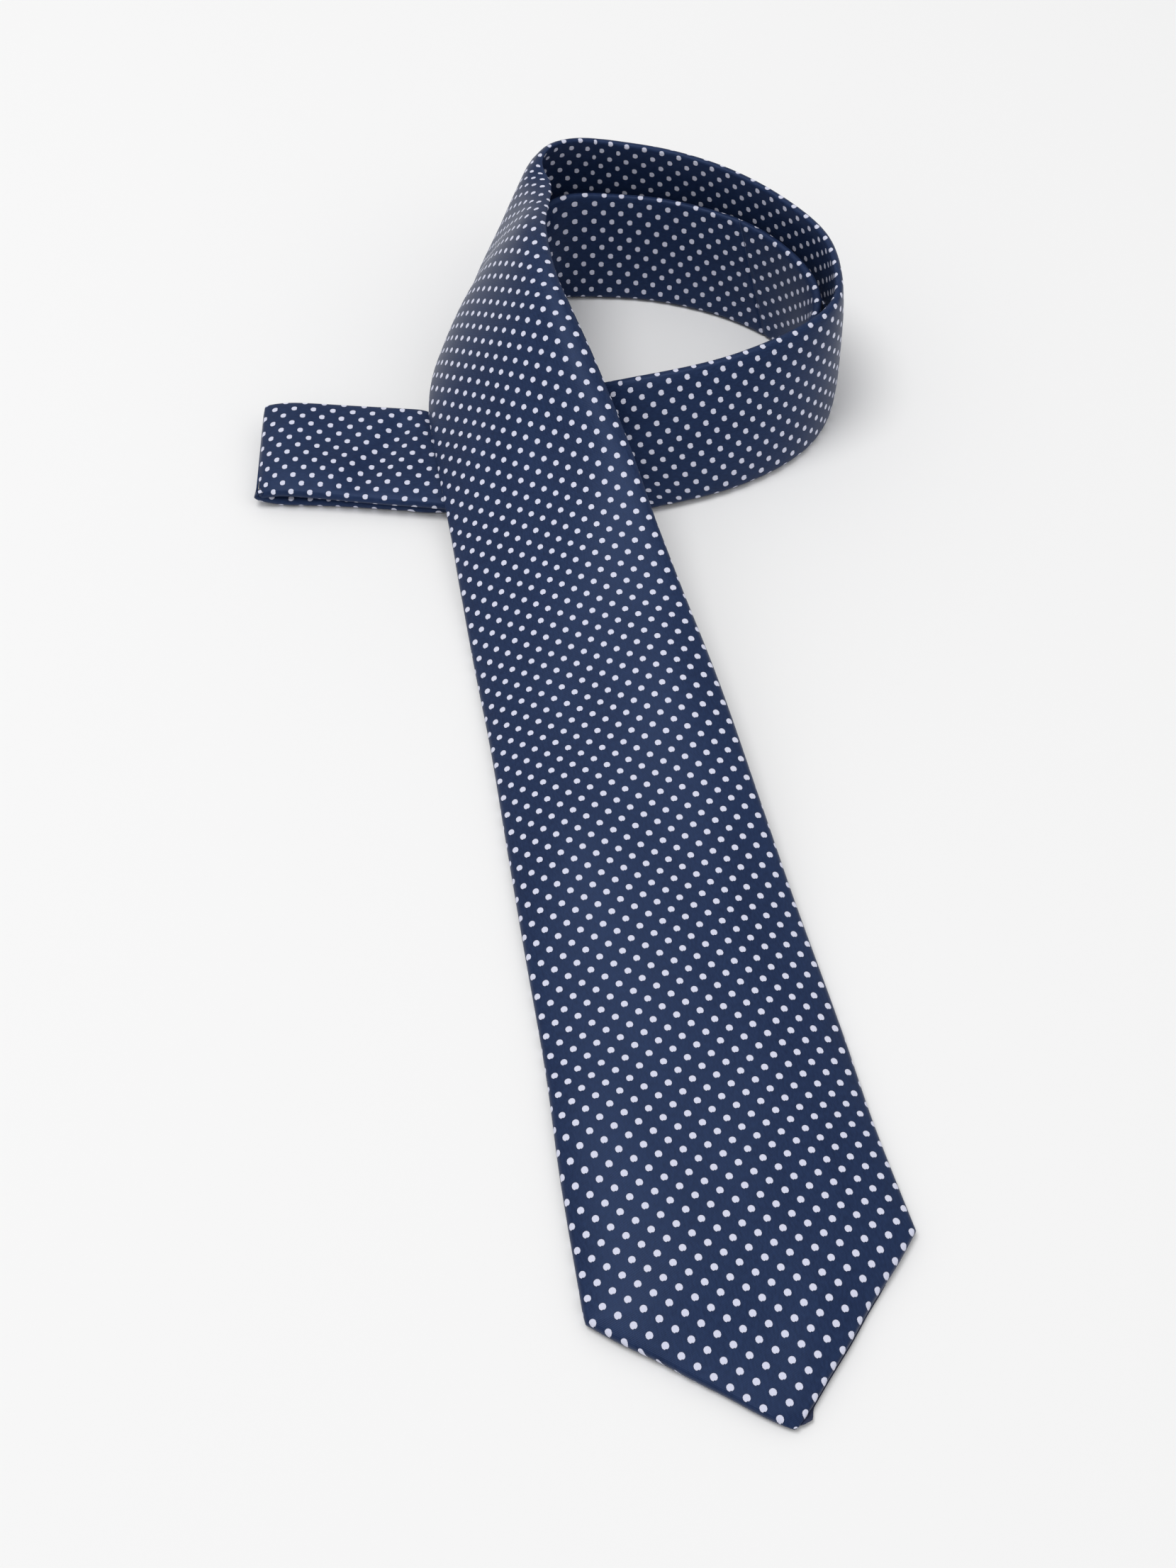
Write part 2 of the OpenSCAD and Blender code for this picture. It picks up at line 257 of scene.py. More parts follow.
def dimple(s, x):
    """The crease where the side loop comes out from under the blade."""
    path = AT[30] + 7 - 9 * x
    return -1.5 * bump(s, path, 8) * smooth((1 - np.abs(x)) / 0.5)


def curl(s, x):
    """The sewn edges near the wide point lift off the table a little, and unevenly."""
    wave = 0.5 + 0.3 * np.sin(s / 8.3 + 1.5 * x) + 0.2 * np.sin(s / 3.7 - 2 * x)
    return 0.7 * wave * np.abs(x) ** 5 * smooth((60 - s) / 40) * smooth(s / 6)


def thinned(s):
    """The tie gets thinner at its two ends."""
    return 0.4 + 0.6 * smooth(np.minimum(s, TOTAL - s) / 3.5)


def groove(s):
    """How far the cloth dips at a sewn join."""
    return sum(0.45 * np.exp(-((s - AT[j]) / 0.55) ** 2) for j in (NECK_JOIN, TAIL_JOIN))


def skewed(s, u):
    """The distances s, slanted across the tie near each join, which is sewn on the bias."""
    slant = 0.47 * bump(s, AT[TAIL_JOIN], 34) + 0.9 * bump(s, AT[NECK_JOIN], 60)
    return s + slant * u


def place(s, u, v, shaped=1.0):
    """Points in metres at distance s along the tie, u across it and v out of its front."""
    s, u, v = np.broadcast_arrays(np.asarray(s, float), u, v)
    x = np.clip(u / half(s, np.sign(u)), -1, 1)
    lift = (at(s, crown_fine) * (1 - np.abs(x) ** 3.3)
            + shaped * (ripple(s, x) + roll(s, x) + curl(s, x) + dimple(s, x)))
    t = skewed(s, u)
    out = (v + lift)[..., None]
    return (at(t, centre_fine) + u[..., None] * at(t, lean_fine) + out * at(t, front_fine)) * MM


def opening(s):
    """Half of the gap between the folded edges at the back, open over the tipping."""
    wide = np.minimum(half(s, -1), half(s, 1))
    e = TOTAL - s
    blade = np.maximum(0.15 * wide, wide - HEM - 3) * np.clip((TACK - s) / (TACK - 35), 0, 1)
    tail = np.maximum(0.15 * wide, wide - HEM + 2) * np.clip(
        (TAIL_TACK - e) / (TAIL_TACK - TAIL_POINT), 0, 1)
    return np.where(s < TACK, blade, tail)


def closed(s):
    """0 where the back is open over the tipping, and 1 where its edges lap."""
    return smooth((s - TACK) / 12) * smooth((TOTAL - TAIL_TACK - s) / 12)


def rings(start, end):
    """Distances of a mesh's rings, closer together at the points, joins and hairpin."""
    s = np.linspace(start, end, max(2, round((end - start) / RING) + 1))
    extra = [at_line + offset for at_line in (AT[NECK_JOIN], AT[TAIL_JOIN])
             for offset in (-1.6, -0.9, -0.5, -0.2, 0.2, 0.5, 0.9, 1.6)]
    extra += list(AT[HAIRPIN] + np.linspace(-7, 7, 41))
    round_end = [0.15, 0.35, 0.65, 1.0, 1.4, 2.0, 2.7, 3.5]
    extra += round_end + [POINT_LEFT, POINT_RIGHT, POINT_LEFT - 0.7, POINT_RIGHT - 0.7]
    extra += [TOTAL - e for e in round_end + [TAIL_POINT, TAIL_POINT - 0.7]]
    extra = [e for e in extra if start < e < end]
    s = np.unique(np.round(np.concatenate([s, extra]), 4))
    keep = np.concatenate([[True], np.diff(s) > 0.12])
    keep[-1] = True
    return s[keep]


BACK_POINTS = 8
EDGE_POINTS = 7
FRONT_POINTS = 23
LAP_OVER = 1.3      # how far the back's left edge passes the middle
LAP_UNDER = 1.6     # how far its right edge passes the middle, under the left one


def silk_chain(s, inset):
    """The silk's section at the distances s, from its left edge at the back round to its right
    edge: across, out of the front, and the distance along the cloth from the front's middle."""
    left, right, gap, lap = half(s, -1), half(s, 1), opening(s), closed(s)
    left_edge, right_edge = np.minimum(EDGE, 0.7 * left), np.minimum(EDGE, 0.7 * right)
    left_fold, right_fold = left - left_edge, right - right_edge
    v = (THICK / 2 - groove(s)) * thinned(s) - inset
    round_edge = math.pi / 2 * EDGE
    columns = []
    for step in np.linspace(0, 1, BACK_POINTS)[:-1] ** 1.8:
        inner = -gap + LAP_OVER * lap
        u = inner + (-left_fold - inner) * step
        near = lap * smooth((u + 4.5) / 3.5)
        columns.append((u, -v - 0.2 * near, -2 * left_fold - round_edge + np.abs(u)))
    for angle in np.linspace(-math.pi / 2, math.pi / 2, EDGE_POINTS):
        arc = (math.pi / 2 - angle) / math.pi * round_edge
        reach = (left_edge - 0.6 * inset * thinned(s)) * math.cos(angle)
        columns.append((-left_fold - reach, v * math.sin(angle), -left_fold - arc))
    for step in np.linspace(0, 1, FRONT_POINTS)[1:-1]:
        u = -left_fold + (left_fold + right_fold) * step
        columns.append((u, v, u))
    for angle in np.linspace(math.pi / 2, -math.pi / 2, EDGE_POINTS):
        arc = (math.pi / 2 - angle) / math.pi * round_edge
        reach = (right_edge - 0.6 * inset * thinned(s)) * math.cos(angle)
        columns.append((right_fold + reach, v * math.sin(angle), right_fold + arc))
    for step in np.linspace(1, 0, BACK_POINTS)[1:] ** 1.8:
        inner = gap - LAP_UNDER * lap
        u = inner + (right_fold - inner) * step
        near = lap * smooth((4.5 - u) / 3.5)
        columns.append((u, -v + 0.22 * near, 2 * right_fold + round_edge - np.abs(u)))
    return [np.stack([c[k] for c in columns], axis=1) for k in range(3)]


def flat_chain(inset, points):
    """The section of a flat layer at a given height, which stops short of the tie's edges."""
    def chain(s, height):
        left = np.maximum(half(s, -1) - inset, 0.5 * half(s, -1))
        right = np.maximum(half(s, 1) - inset, 0.5 * half(s, 1))
        step = np.linspace(0, 1, points)[None, :]
        u = -left[:, None] + (left + right)[:, None] * step
        return u, height + 0 * u, u
    return chain


def mesh_object(name, points, faces, cloth=None, material=None, sharp=55):
    """A smooth mesh object in metres, with the cloth's own coordinates as an attribute."""
    mesh = bpy.data.meshes.new(name)
    mesh.from_pydata([tuple(p) for p in np.asarray(points, float)], [], faces)
    mesh.update()
    if cloth is not None:
        layer = mesh.attributes.new("cloth", "FLOAT_VECTOR", "POINT")
        layer.data.foreach_set("vector", np.asarray(cloth, np.float32).ravel())
    mesh.shade_smooth()
    mesh.set_sharp_from_angle(angle=math.radians(sharp))
    made = bpy.data.objects.new(name, mesh)
    bpy.context.scene.collection.objects.link(made)
    if material:
        mesh.materials.append(material)
    return made


def shell_faces(n, m):
    """Faces of the closed thin solid between two sheets of n by m points, the outer one first."""
    size = n * m
    index = np.arange(size).reshape(n, m)
    sheet = [(index[i, j], index[i, j + 1], index[i + 1, j + 1], index[i + 1, j])
             for i in range(n - 1) for j in range(m - 1)]
    border = (list(index[0, :]) + list(index[1:, -1]) + list(index[-1, -2::-1])
              + list(index[-2::-1, 0]))
    rim = [(b, a, a + size, b + size) for a, b in zip(border, border[1:])]
    return sheet + [tuple(size + k for k in reversed(face)) for face in sheet] + rim


def shell(name, sheets, cloths, material):
    """A piece of cloth as a closed thin solid between its outer and its inner sheet."""
    n, m = sheets[0].shape[:2]
    points = np.concatenate([sheet.reshape(-1, 3) for sheet in sheets])
    cloth = np.concatenate([c.reshape(-1, 3) for c in cloths])
    piece = mesh_object(name, points, shell_faces(n, m), cloth, material)
    return piece


def layer(name, chain, start, end, depths, material, slot):
    """One layer of the tie between two distances along it."""
    s = rings(start, end)
    sheets = []
    for depth in depths:
        u, v, x = chain(s, depth)
        spread = np.repeat(s[:, None], u.shape[1], axis=1)
        sheets.append(place(spread, u, v))
    # Across the cloth, a thread's length is measured round the crown from the middle
    steps = np.linalg.norm(np.diff(sheets[0], axis=1), axis=2)
    round_crown = np.concatenate([0 * steps[:, :1], np.cumsum(steps, axis=1)], axis=1)
    middle = [np.interp(0, flat, curved) for flat, curved in zip(x, round_crown)]
    along = at(skewed(spread, u), LENGTH) * MM
    cloth = np.stack([round_crown - np.array(middle)[:, None], along, 0 * x], axis=-1)
    return shell(name, sheets, [cloth, cloth], material)


def patch(name, middle, width, length, depths, material):
    """A flat rectangle of cloth on the tie, centred at a distance along it."""
    s = np.linspace(middle - length / 2, middle + length / 2, 15)[:, None]
    u = np.linspace(-width / 2, width / 2, 21)[None, :]
    s, u = np.broadcast_arrays(s, u)
    cloths = [np.stack([u, s, 0 * u], axis=-1) * MM] * 2
    return shell(name, [place(s, u, depth) for depth in depths], cloths, material)


def tubes(name, lines, fronts, radius, material, sides=6):
    """Round threads, each along its own line of points in metres."""
    points, faces = [], []
    angles = np.linspace(0, 2 * math.pi, sides, endpoint=False)
    for line, front in zip(lines, fronts):
        ahead = unit(np.gradient(line, axis=0))
        side = unit(np.cross(ahead, front))
        over = np.cross(side, ahead)
        base = len(points)
        swell = np.full(len(line), radius * MM)
        swell[[0, -1]] *= 0.5
        for k in range(len(line)):
            points += [line[k] + swell[k] * (math.cos(a) * side[k] + math.sin(a) * over[k])
                       for a in angles]
        for k in range(len(line) - 1):
            for j in range(sides):
                a, b = base + k * sides + j, base + k * sides + (j + 1) % sides
                faces.append((a, b, b + sides, a + sides))
        faces.append(tuple(base + j for j in reversed(range(sides))))
        faces.append(tuple(base + (len(line) - 1) * sides + j for j in range(sides)))
    piece = mesh_object(name, points, faces, None, material)
    return piece


# ---------------------------------------------------------------- materials

class Shader:
    """A material's node tree, with a short call for each kind of node that is used."""

    def __init__(self, name):
        self.material = bpy.data.materials.new(name)
        self.material.use_nodes = True
        self.tree = self.material.node_tree
        self.surface = self.tree.nodes["Principled BSDF"]

    def node(self, kind, **settings):
        made = self.tree.nodes.new(kind)
        for key, value in settings.items():
            setattr(made, key, value)
        return made

    def feed(self, socket, value):
        if isinstance(value, bpy.types.NodeSocket):
            self.tree.links.new(value, socket)
        else:
            socket.default_value = value

    def math(self, operation, *values, clamp=False):
        made = self.node("ShaderNodeMath", operation=operation, use_clamp=clamp)
        for socket, value in zip(made.inputs, values):
            self.feed(socket, value)
        return made.outputs[0]

    def add(self, a, b):
        return self.math("ADD", a, b)

    def subtract(self, a, b):
        return self.math("SUBTRACT", a, b)

    def times(self, a, b):
        return self.math("MULTIPLY", a, b)

    def ramp(self, value, low, high):
        """0 to 1, easing, as the value goes from low to high."""
        made = self.node("ShaderNodeMapRange", interpolation_type="SMOOTHSTEP")
        for key, number in (("Value", value), ("From Min", low), ("From Max", high)):
            self.feed(made.inputs[key], number)
        return made.outputs["Result"]

    def mix(self, factor, a, b):
        made = self.node("ShaderNodeMix", data_type="RGBA")
        self.feed(made.inputs[0], factor)
        self.feed(made.inputs[6], a)
        self.feed(made.inputs[7], b)
        return made.outputs[2]

    def cloth(self):
        """The cloth's own coordinates in millimetres: across and along."""
        split = self.node("ShaderNodeSeparateXYZ")
        stored = self.node("ShaderNodeAttribute", attribute_name="cloth")
        self.feed(split.inputs[0], stored.outputs["Vector"])
        return [self.times(split.outputs[k], 1000.0) for k in range(3)]

    def noise(self, scale, detail=2.0, stretch=(1, 1, 1)):
        mapping = self.node("ShaderNodeMapping")
        source = self.node("ShaderNodeAttribute", attribute_name="cloth").outputs["Vector"]
        self.feed(mapping.inputs["Vector"], source)
        mapping.inputs["Scale"].default_value = stretch
        made = self.node("ShaderNodeTexNoise")
        self.feed(made.inputs["Vector"], mapping.outputs[0])
        made.inputs["Scale"].default_value = scale
        made.inputs["Detail"].default_value = detail
        return made.outputs["Fac"]

    def relief(self, height, depth):
        """Bump from a height between 0 and 1, that many metres deep."""
        made = self.node("ShaderNodeBump")
        made.inputs["Strength"].default_value = 1.0
        made.inputs["Distance"].default_value = depth
        self.feed(made.inputs["Height"], height)
        self.feed(self.surface.inputs["Normal"], made.outputs[0])

    def set(self, **values):
        for key, value in values.items():
            self.feed(self.surface.inputs[key.replace("_", " ")], value)


PITCH = 4.15         # between neighbouring dots, along the diagonals
DOT = 0.88           # radius of a dot
DOT_SHIFT = (2.9, 0.6)   # moves the lattice across and along the cloth


def silk_material():
    """Navy satin with small pale dots on a diagonal lattice, each a float of thick threads."""
    m = Shader("navy_silk")
    across, along, _ = m.cloth()
    across = m.add(across, DOT_SHIFT[0])
    along = m.add(along, DOT_SHIFT[1])
    scale = 1 / (math.sqrt(2) * PITCH)
    cells = [m.math("FRACT", m.times(f(along, across), scale)) for f in (m.add, m.subtract)]
    p, q = [m.times(m.subtract(c, 0.5), PITCH / math.sqrt(2)) for c in cells]
    x, y = m.subtract(p, q), m.add(p, q)

    # The threads run on the bias: a dot's rim steps from thread to thread, and is notched
    bias = m.add(m.times(x, 0.5), m.times(y, 0.87))
    weft = m.subtract(m.times(x, 0.87), m.times(y, 0.5))
    thread = m.math("FRACT", m.times(weft, 1 / 0.24))
    ridge = m.math("ABSOLUTE", m.subtract(m.times(thread, 2.0), 1.0))
    distance = m.math("SQRT", m.add(m.times(x, x), m.times(m.times(y, y), 0.93)))
    below = m.ramp(y, 0.1, -0.7)
    notch = m.times(m.times(m.ramp(m.math("ABSOLUTE", x), 0.34, 0.0), below), 0.17)
    rim = m.subtract(m.subtract(DOT, notch), m.times(ridge, 0.07))
    inside = m.ramp(m.subtract(rim, distance), -0.05, 0.06)
    # A thin ring just outside each dot, where painted shade goes round the foot of the raised float
    near = m.ramp(m.subtract(rim, distance), -0.34, -0.02)

    # Satin ground: fine twill lines and a faint slub, and painted shade in a thin ring round the foot
    # of each dot
    slanted = m.add(m.times(across, 0.64), m.times(along, 0.77))
    twill = m.math("SINE", m.times(slanted, 2 * math.pi / 0.34))
    grain = m.noise(1900.0, 2.0, (1, 0.35, 1))
    slub = m.noise(110.0, 3.0, (1, 0.25, 1))
    tone = m.add(m.times(twill, 0.12), m.add(m.times(grain, 0.9), m.times(slub, 0.5)))
    ground = m.mix(m.ramp(tone, 0.2, 1.25), (0.0078, 0.0160, 0.050, 1), (0.0180, 0.0355, 0.097, 1))
    # Painted shade: the ground is darkened in that ring round each dot
    ground = m.mix(m.times(m.subtract(near, inside), 0.4), ground, (0.008, 0.014, 0.045, 1))
    pale = m.mix(ridge, (0.78, 0.79, 0.91, 1), (0.60, 0.62, 0.79, 1))
    m.set(Base_Color=m.mix(inside, ground, pale),
          Roughness=m.add(0.34, m.times(grain, 0.12)))
    m.surface.inputs["Specular IOR Level"].default_value = 0.27
    m.surface.inputs["Specular Tint"].default_value = (0.45, 0.6, 1.0, 1)
    m.surface.inputs["Sheen Weight"].default_value = 0.02
    m.surface.inputs["Sheen Roughness"].default_value = 0.4
    m.surface.inputs["Sheen Tint"].default_value = (0.35, 0.55, 1.0, 1)
    height = m.add(m.times(inside, m.add(0.75, m.times(ridge, -0.25))), m.times(twill, 0.10))
    m.relief(m.add(height, m.times(grain, 0.25)), 0.00009)
    return m.material


def lining_material():
    """Plain navy satin lining, with fine straight threads."""
    m = Shader("lining")
    across, along, _ = m.cloth()
    warp = m.math("SINE", m.times(across, 2 * math.pi / 0.22))
    weft = m.math("SINE", m.times(along, 2 * math.pi / 0.30))
    slub = m.noise(150.0, 3.0, (1, 0.2, 1))
    tone = m.add(m.times(warp, 0.15), m.times(slub, 1.0))
    m.set(Base_Color=m.mix(m.ramp(tone, 0.2, 0.9), (0.009, 0.016, 0.050, 1), (0.020, 0.034, 0.095, 1)),
          Roughness=0.34)
    m.surface.inputs["Specular IOR Level"].default_value = 0.35
    m.relief(m.add(m.times(warp, 0.5), m.times(weft, 0.3)), 0.00003)
    return m.material


def wool_material():
    """Brushed wool interlining."""
    m = Shader("interlining")
    fuzz = m.noise(900.0, 5.0)
    broad = m.noise(120.0, 2.0)
    m.set(Base_Color=m.mix(m.add(m.times(fuzz, 0.6), m.times(broad, 0.4)),
                           (0.62, 0.58, 0.48, 1), (0.80, 0.77, 0.68, 1)),
          Roughness=0.92)
    m.relief(fuzz, 0.0003)
    return m.material


def thread_material():
    """Twisted sewing thread."""
    m = Shader("thread")
    coordinates = m.node("ShaderNodeTexCoord").outputs["Object"]
    wave = m.node("ShaderNodeTexWave", wave_type="BANDS", bands_direction="DIAGONAL")
    m.feed(wave.inputs["Vector"], coordinates)
    wave.inputs["Scale"].default_value = 900.0
    wave.inputs["Distortion"].default_value = 1.5
    m.set(Base_Color=m.mix(wave.outputs["Fac"], (0.014, 0.030, 0.085, 1), (0.035, 0.062, 0.15, 1)),
          Roughness=0.5)
    m.relief(wave.outputs["Fac"], 0.00005)
    return m.material


def label_material():
    """Pale woven label, blank, with fine ribs."""
    m = Shader("label")
    across, along, _ = m.cloth()
    rib = m.math("SINE", m.times(along, 2 * math.pi / 0.35))
    warp = m.math("SINE", m.times(across, 2 * math.pi / 0.25))
    slub = m.noise(260.0, 3.0)
    tone = m.add(m.times(m.times(rib, warp), 0.25), slub)
    m.set(Base_Color=m.mix(m.ramp(tone, 0.1, 1.0), (0.62, 0.62, 0.60, 1), (0.82, 0.82, 0.80, 1)),
          Roughness=0.48)
    m.relief(m.times(rib, warp), 0.00004)
    return m.material


silk = silk_material()
lining = lining_material()
wool = wool_material()
thread = thread_material()
pale = label_material()


# ---------------------------------------------------------------- placing pieces on bodies

UP = Vector((0, 0, 1))


def fold_over(piece, parent, child):
    """The piece rides on the parent body when no child is given; otherwise its transform is baked in.
    """
    if child is None:
        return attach(piece, parent)
    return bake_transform(piece)


# ---------------------------------------------------------------- layers of cloth

# Run, first and last station, bodies, and the panels, interlinings and stitches it stands for
RUNS = [
    ("blade_tip", 0, 5, "blade_lower", "blade_tip",
     ["blade_panel_tip"], ["interlining_tip"], ["slip_stitch_lower"]),
    ("blade_lower", 5, 7, "blade_middle", "blade_lower",
     ["blade_panel_lower"], ["interlining_lower"], ["slip_stitch_lower"]),
    ("blade_coil", 7, 28, "coil", "blade_middle",
     ["blade_panel_middle", "blade_panel_crossing", "blade_panel_back", "blade_panel_front"],
     ["interlining_middle", "interlining_outer"], ["slip_stitch_middle", "slip_stitch_outer"]),
    ("neck", 28, 45, "coil", "side_loop",
     ["neck_panel_outer", "neck_panel_loop", "neck_panel_inner", "neck_panel_end"],
     ["interlining_loop", "interlining_inner"], ["slip_stitch_loop", "slip_stitch_inner"]),
    ("tail_coil", 45, 57, "coil", "blade_middle",
     ["tail_panel_back", "tail_panel_turn", "tail_panel_middle"],
     ["interlining_inner", "interlining_middle"], ["slip_stitch_inner", "slip_stitch_middle"]),
    ("tail_lower", 57, 59, "blade_middle", "blade_lower",
     ["tail_panel_lower"], ["interlining_lower"], ["slip_stitch_lower"]),
    ("tail_tip", 59, 62, "blade_lower", "blade_tip",
     ["tail_panel_tip"], ["interlining_tip"], ["slip_stitch_lower"]),
]


def slip_stitches(name, start, end):
    """The long loose stitches along the lapped edges at the back, or None if none are there."""
    first = max(start + 6, TACK + 8)
    last = min(end - 6, TOTAL - TAIL_TACK - 8)
    slant = np.linspace(-0.5, 0.5, 7)
    lines, fronts = [], []
    for s in np.arange(first, last, 14.0):
        across = LAP_OVER + 1.2 * slant
        height = -THICK / 2 - 0.12 - 0.18 * np.cos(math.pi * slant)
        lines.append(place(s + 3.0 * slant, across, height))
        fronts.append(at(s + 3.0 * slant, front_fine))
    return tubes(name, lines, fronts, 0.16, thread) if lines else None


CORE_INSET = 2.2            # the interlining stops this far inside the folded edges
CORE_DEPTHS = (0.6, -0.4)   # heights of its two faces

for run, first, last, parent, child, panels, cores, stitches in RUNS:
    start, end = AT[first], AT[last]
    cloth = layer(run + "_silk", silk_chain, start, end, (0, SILK), silk, "navy_silk")
    core = layer(run + "_interlining", flat_chain(CORE_INSET, 9), max(start, 3),
                 min(end, TOTAL - 3), CORE_DEPTHS, wool, "interlining")
    sewing = slip_stitches(run + "_slip_stitch", start, end)
    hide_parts(*panels)
    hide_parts(*cores)
    pieces = [cloth, core]
    if sewing:
        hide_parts(*stitches)
        pieces.append(sewing)
    for piece in pieces:
        fold_over(piece, parent, child)

# Tipping behind the two points, inside the turned hems
TIPPING = [
    ("blade_tipping_cloth", "blade_tipping", 3, TACK + 12, "blade_lower", "blade_tip"),
    ("tail_tipping_cloth", "tail_tipping", TOTAL - TAIL_TACK - 12, TOTAL - 3,
     "blade_lower", "blade_tip"),
]
for name, node, start, end, parent, child in TIPPING:
    cloth = layer(name, flat_chain(2.6, 13), start, end, (-0.55, -0.75), lining, "lining")
    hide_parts(node)
    fold_over(cloth, parent, child)


def hem_corner():
    """The folded hem that shows past the right edge, next to the wide tip."""
    a = np.linspace(0, 1, 41)[:, None]
    b = np.linspace(0, 1, 9)[None, :]
    s = 0.5 + 27 * a + 0 * b
    out = (0.3 + 2.0 * (1 - smooth(a / 0.14))) * smooth((1 - a) / 0.1) * smooth((a + 0.012) / 0.03)
    edge = half(s, 1)
    u = edge - np.minimum(11, 1.5 * edge) * (1 - b) + out * b
    low = 0.35 - THICK / 2 * thinned(s)
    thin = 0.12 - 0.05 * b ** 4 + 0 * a
    cloths = [np.stack([u, s, 0 * u], axis=-1) * MM] * 2
    sheets = [place(s, u, low + thin), place(s, u, low)]
    piece = shell("blade_hem_cloth", sheets, cloths, lining)
    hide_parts("blade_panel_tip")
    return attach(piece, "blade_tip")


hem_corner()


# ---------------------------------------------------------------- seams and trim

def join_thread(name, node, station):
    """The line of stitches at the bottom of a sewn join's groove."""
    s = np.array([AT[station]])
    u, v, _ = silk_chain(s, 0.0)
    spread = np.full(u.shape, s[0])
    line = place(spread, u, v)[0]
    front = at(spread, front_fine)[0]
    piece = tubes(name, [line], [front], 0.16, thread)
    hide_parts(node)
    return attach(piece, "coil")


def bar_tack(name, node, middle):
    """A short dense bar of thread across the back seam."""
    across = np.linspace(-4, 4, 9)
    lines, fronts = [], []
    for k in range(8):
        s = np.full(9, middle + 0.26 * (k - 3.5))
        lines.append(place(s, across, -THICK / 2 - 0.3 - 0.08 * (k % 2)))
        fronts.append(at(s, front_fine))
    for k in range(12):
        s = middle + np.linspace(-1.3, 1.3, 5)
        lines.append(place(s, np.full(5, -3.6 + 0.65 * k), -THICK / 2 - 0.46))
        fronts.append(at(s, front_fine))
    piece = tubes(name, lines, fronts, 0.15, thread)
    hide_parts(node)
    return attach(piece, "blade_lower")


join_thread("neck_join_thread", "neck_join_seam", NECK_JOIN)
join_thread("tail_join_thread", "tail_join_seam", TAIL_JOIN)
bar_tack("blade_bar_tack_thread", "blade_bar_tack", TACK)
bar_tack("tail_bar_tack_thread", "tail_bar_tack", TOTAL - TAIL_TACK)

KEEPER_HALF = 24     # half of the keeper's inner width
KEEPER_WIDE = 10     # width of its strap
KEEPER_THICK = 0.5


def keeper():
    """The strap that is sewn to the blade's back and passes under the tail."""
    middle = AT[7]
    centre = at(middle, centre_fine)

    def back(u):
        return float(place(middle, u, -THICK / 2, 0.0)[2]) / MM

    def under(u):
        return float(place(AT[57], u, THICK / 2, 0.0)[2]) / MM

    def base(u):
        lean = (under(-18) - under(18)) / 36
        return max(0.28, under(18) + lean * (18 - u) - 0.55)

    def side(sign):
        k = KEEPER_HALF
        top = back(sign * (k + 1)) - 0.5
        return [(sign * (k + 5), back(sign * (k + 5)) - 0.45),
                (sign * (k + 3), back(sign * (k + 3)) - 0.45),
                (sign * (k + 1), top), (sign * (k + 0.3), 0.55 * top + 0.45 * base(sign * k)),
                (sign * (k - 0.6), base(sign * k) + 0.15), (sign * (k - 3), base(sign * (k - 3))),
                (sign * (k - 9), base(sign * (k - 9))), (sign * (k - 17), base(sign * (k - 17)))]

    route = np.array(side(1) + side(-1)[::-1])
    line = spline(route, 5)
    ahead = unit(np.gradient(line, axis=0))
    out = np.stack([ahead[:, 1], -ahead[:, 0]], axis=1)
    length = np.concatenate([[0], np.cumsum(np.linalg.norm(np.diff(line, axis=0), axis=1))])
    across = np.linspace(-0.5, 0.5, 9) * KEEPER_WIDE
    rounded = 1 - 0.5 * np.abs(across / (KEEPER_WIDE / 2)) ** 6
    sheets, cloths = [], []
    for face in (-1, 1):
        xz = line[:, None, :] + face * KEEPER_THICK / 2 * rounded[None, :, None] * out[:, None, :]
        y = np.broadcast_to(centre[1] + across[None, :], xz.shape[:2])
        points = np.stack([centre[0] + xz[..., 0], y, xz[..., 1]], axis=-1)
        sheets.append(points * MM)
        run = np.broadcast_to(length[:, None], y.shape)
        cloths.append(np.stack([run, y - centre[1], 0 * y], axis=-1) * MM)
    piece = shell("keeper_strap", sheets, cloths, silk)
    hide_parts("keeper_loop")
    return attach(piece, "blade_middle")


def label_piece(name, node, middle, width, length, body):
    """A blank label on the blade's back."""
    depths = (-THICK / 2 - 0.12, -THICK / 2 - 0.42)
    piece = patch(name, middle, width, length, depths, pale)
    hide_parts(node)
    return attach(piece, body)


keeper()
label_piece("blank_label_cloth", "blank_label", AT[7] - 18, 36, 20, "blade_middle")
label_piece("care_label_cloth", "care_label", AT[5], 18, 24, "blade_lower")


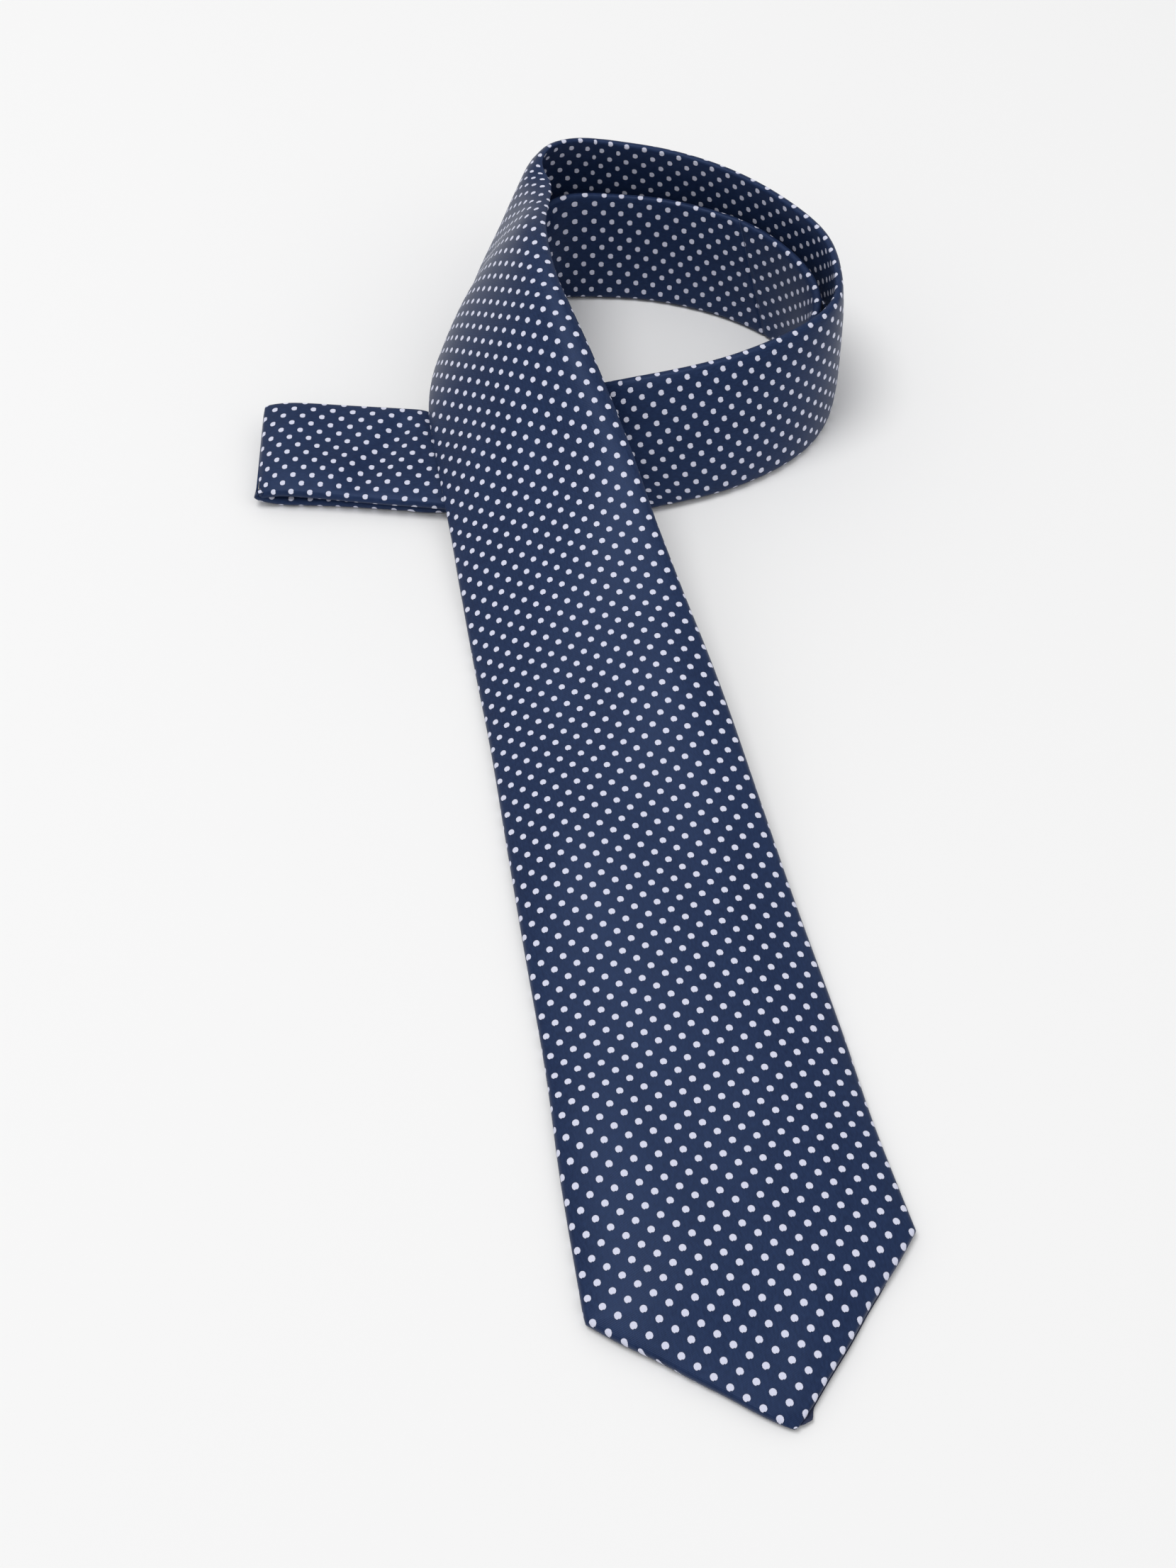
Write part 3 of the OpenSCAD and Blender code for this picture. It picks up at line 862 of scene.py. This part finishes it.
# ---------------------------------------------------------------- floor, light and camera

VIEW_TARGET = Vector((-0.0184, -0.0194, 0))   # where the camera looks at on the table
VIEW_DISTANCE = 0.5269
VIEW_PITCH = math.radians(52.5)
VIEW_TURN = math.radians(-12)
LENS = 44.76


def camera():
    data = bpy.data.cameras.new("camera")
    data.lens = LENS
    data.sensor_width = 36
    data.clip_start = 0.01
    eye = bpy.data.objects.new("camera", data)
    bpy.context.scene.collection.objects.link(eye)
    level = Vector((math.sin(-VIEW_TURN), math.cos(VIEW_TURN), 0))
    look = math.cos(VIEW_PITCH) * level - math.sin(VIEW_PITCH) * UP
    eye.location = VIEW_TARGET - VIEW_DISTANCE * look
    eye.rotation_euler = (math.pi / 2 - VIEW_PITCH, 0, VIEW_TURN)
    bpy.context.scene.camera = eye


def floor():
    """A plain pale table: one large flat square."""
    size = 4.0
    corners = [(-size, -size, 0), (size, -size, 0), (size, size, 0), (-size, size, 0)]
    m = Shader("table")
    m.set(Base_Color=(0.93, 0.93, 0.93, 1), Roughness=0.9)
    m.surface.inputs["Specular IOR Level"].default_value = 0.0
    table = mesh_object("table", corners, [(0, 1, 2, 3)], None, m.material)
    table.location.z = -0.0002


def area_light(name, place_at, size, watts, colour=(1, 1, 1)):
    data = bpy.data.lights.new(name, "AREA")
    data.shape = "DISK"
    data.size = size
    data.energy = watts
    data.color = colour
    lamp = bpy.data.objects.new(name, data)
    bpy.context.scene.collection.objects.link(lamp)
    lamp.location = place_at
    lamp.rotation_euler = (-Vector(place_at)).to_track_quat("-Z", "Y").to_euler()


def lights():
    world = bpy.data.worlds.new("studio")
    world.use_nodes = True
    world.node_tree.nodes["Background"].inputs["Color"].default_value = (1.0, 1.0, 1.0, 1)
    world.node_tree.nodes["Background"].inputs["Strength"].default_value = 0.59
    bpy.context.scene.world = world
    area_light("key", (-0.6, 0.25, 2.15), 1.2, 20.5)
    area_light("fill", (1.2, -1.0, 1.6), 1.6, 3)


camera()
floor()
lights()
bpy.context.scene.view_settings.view_transform = "Standard"
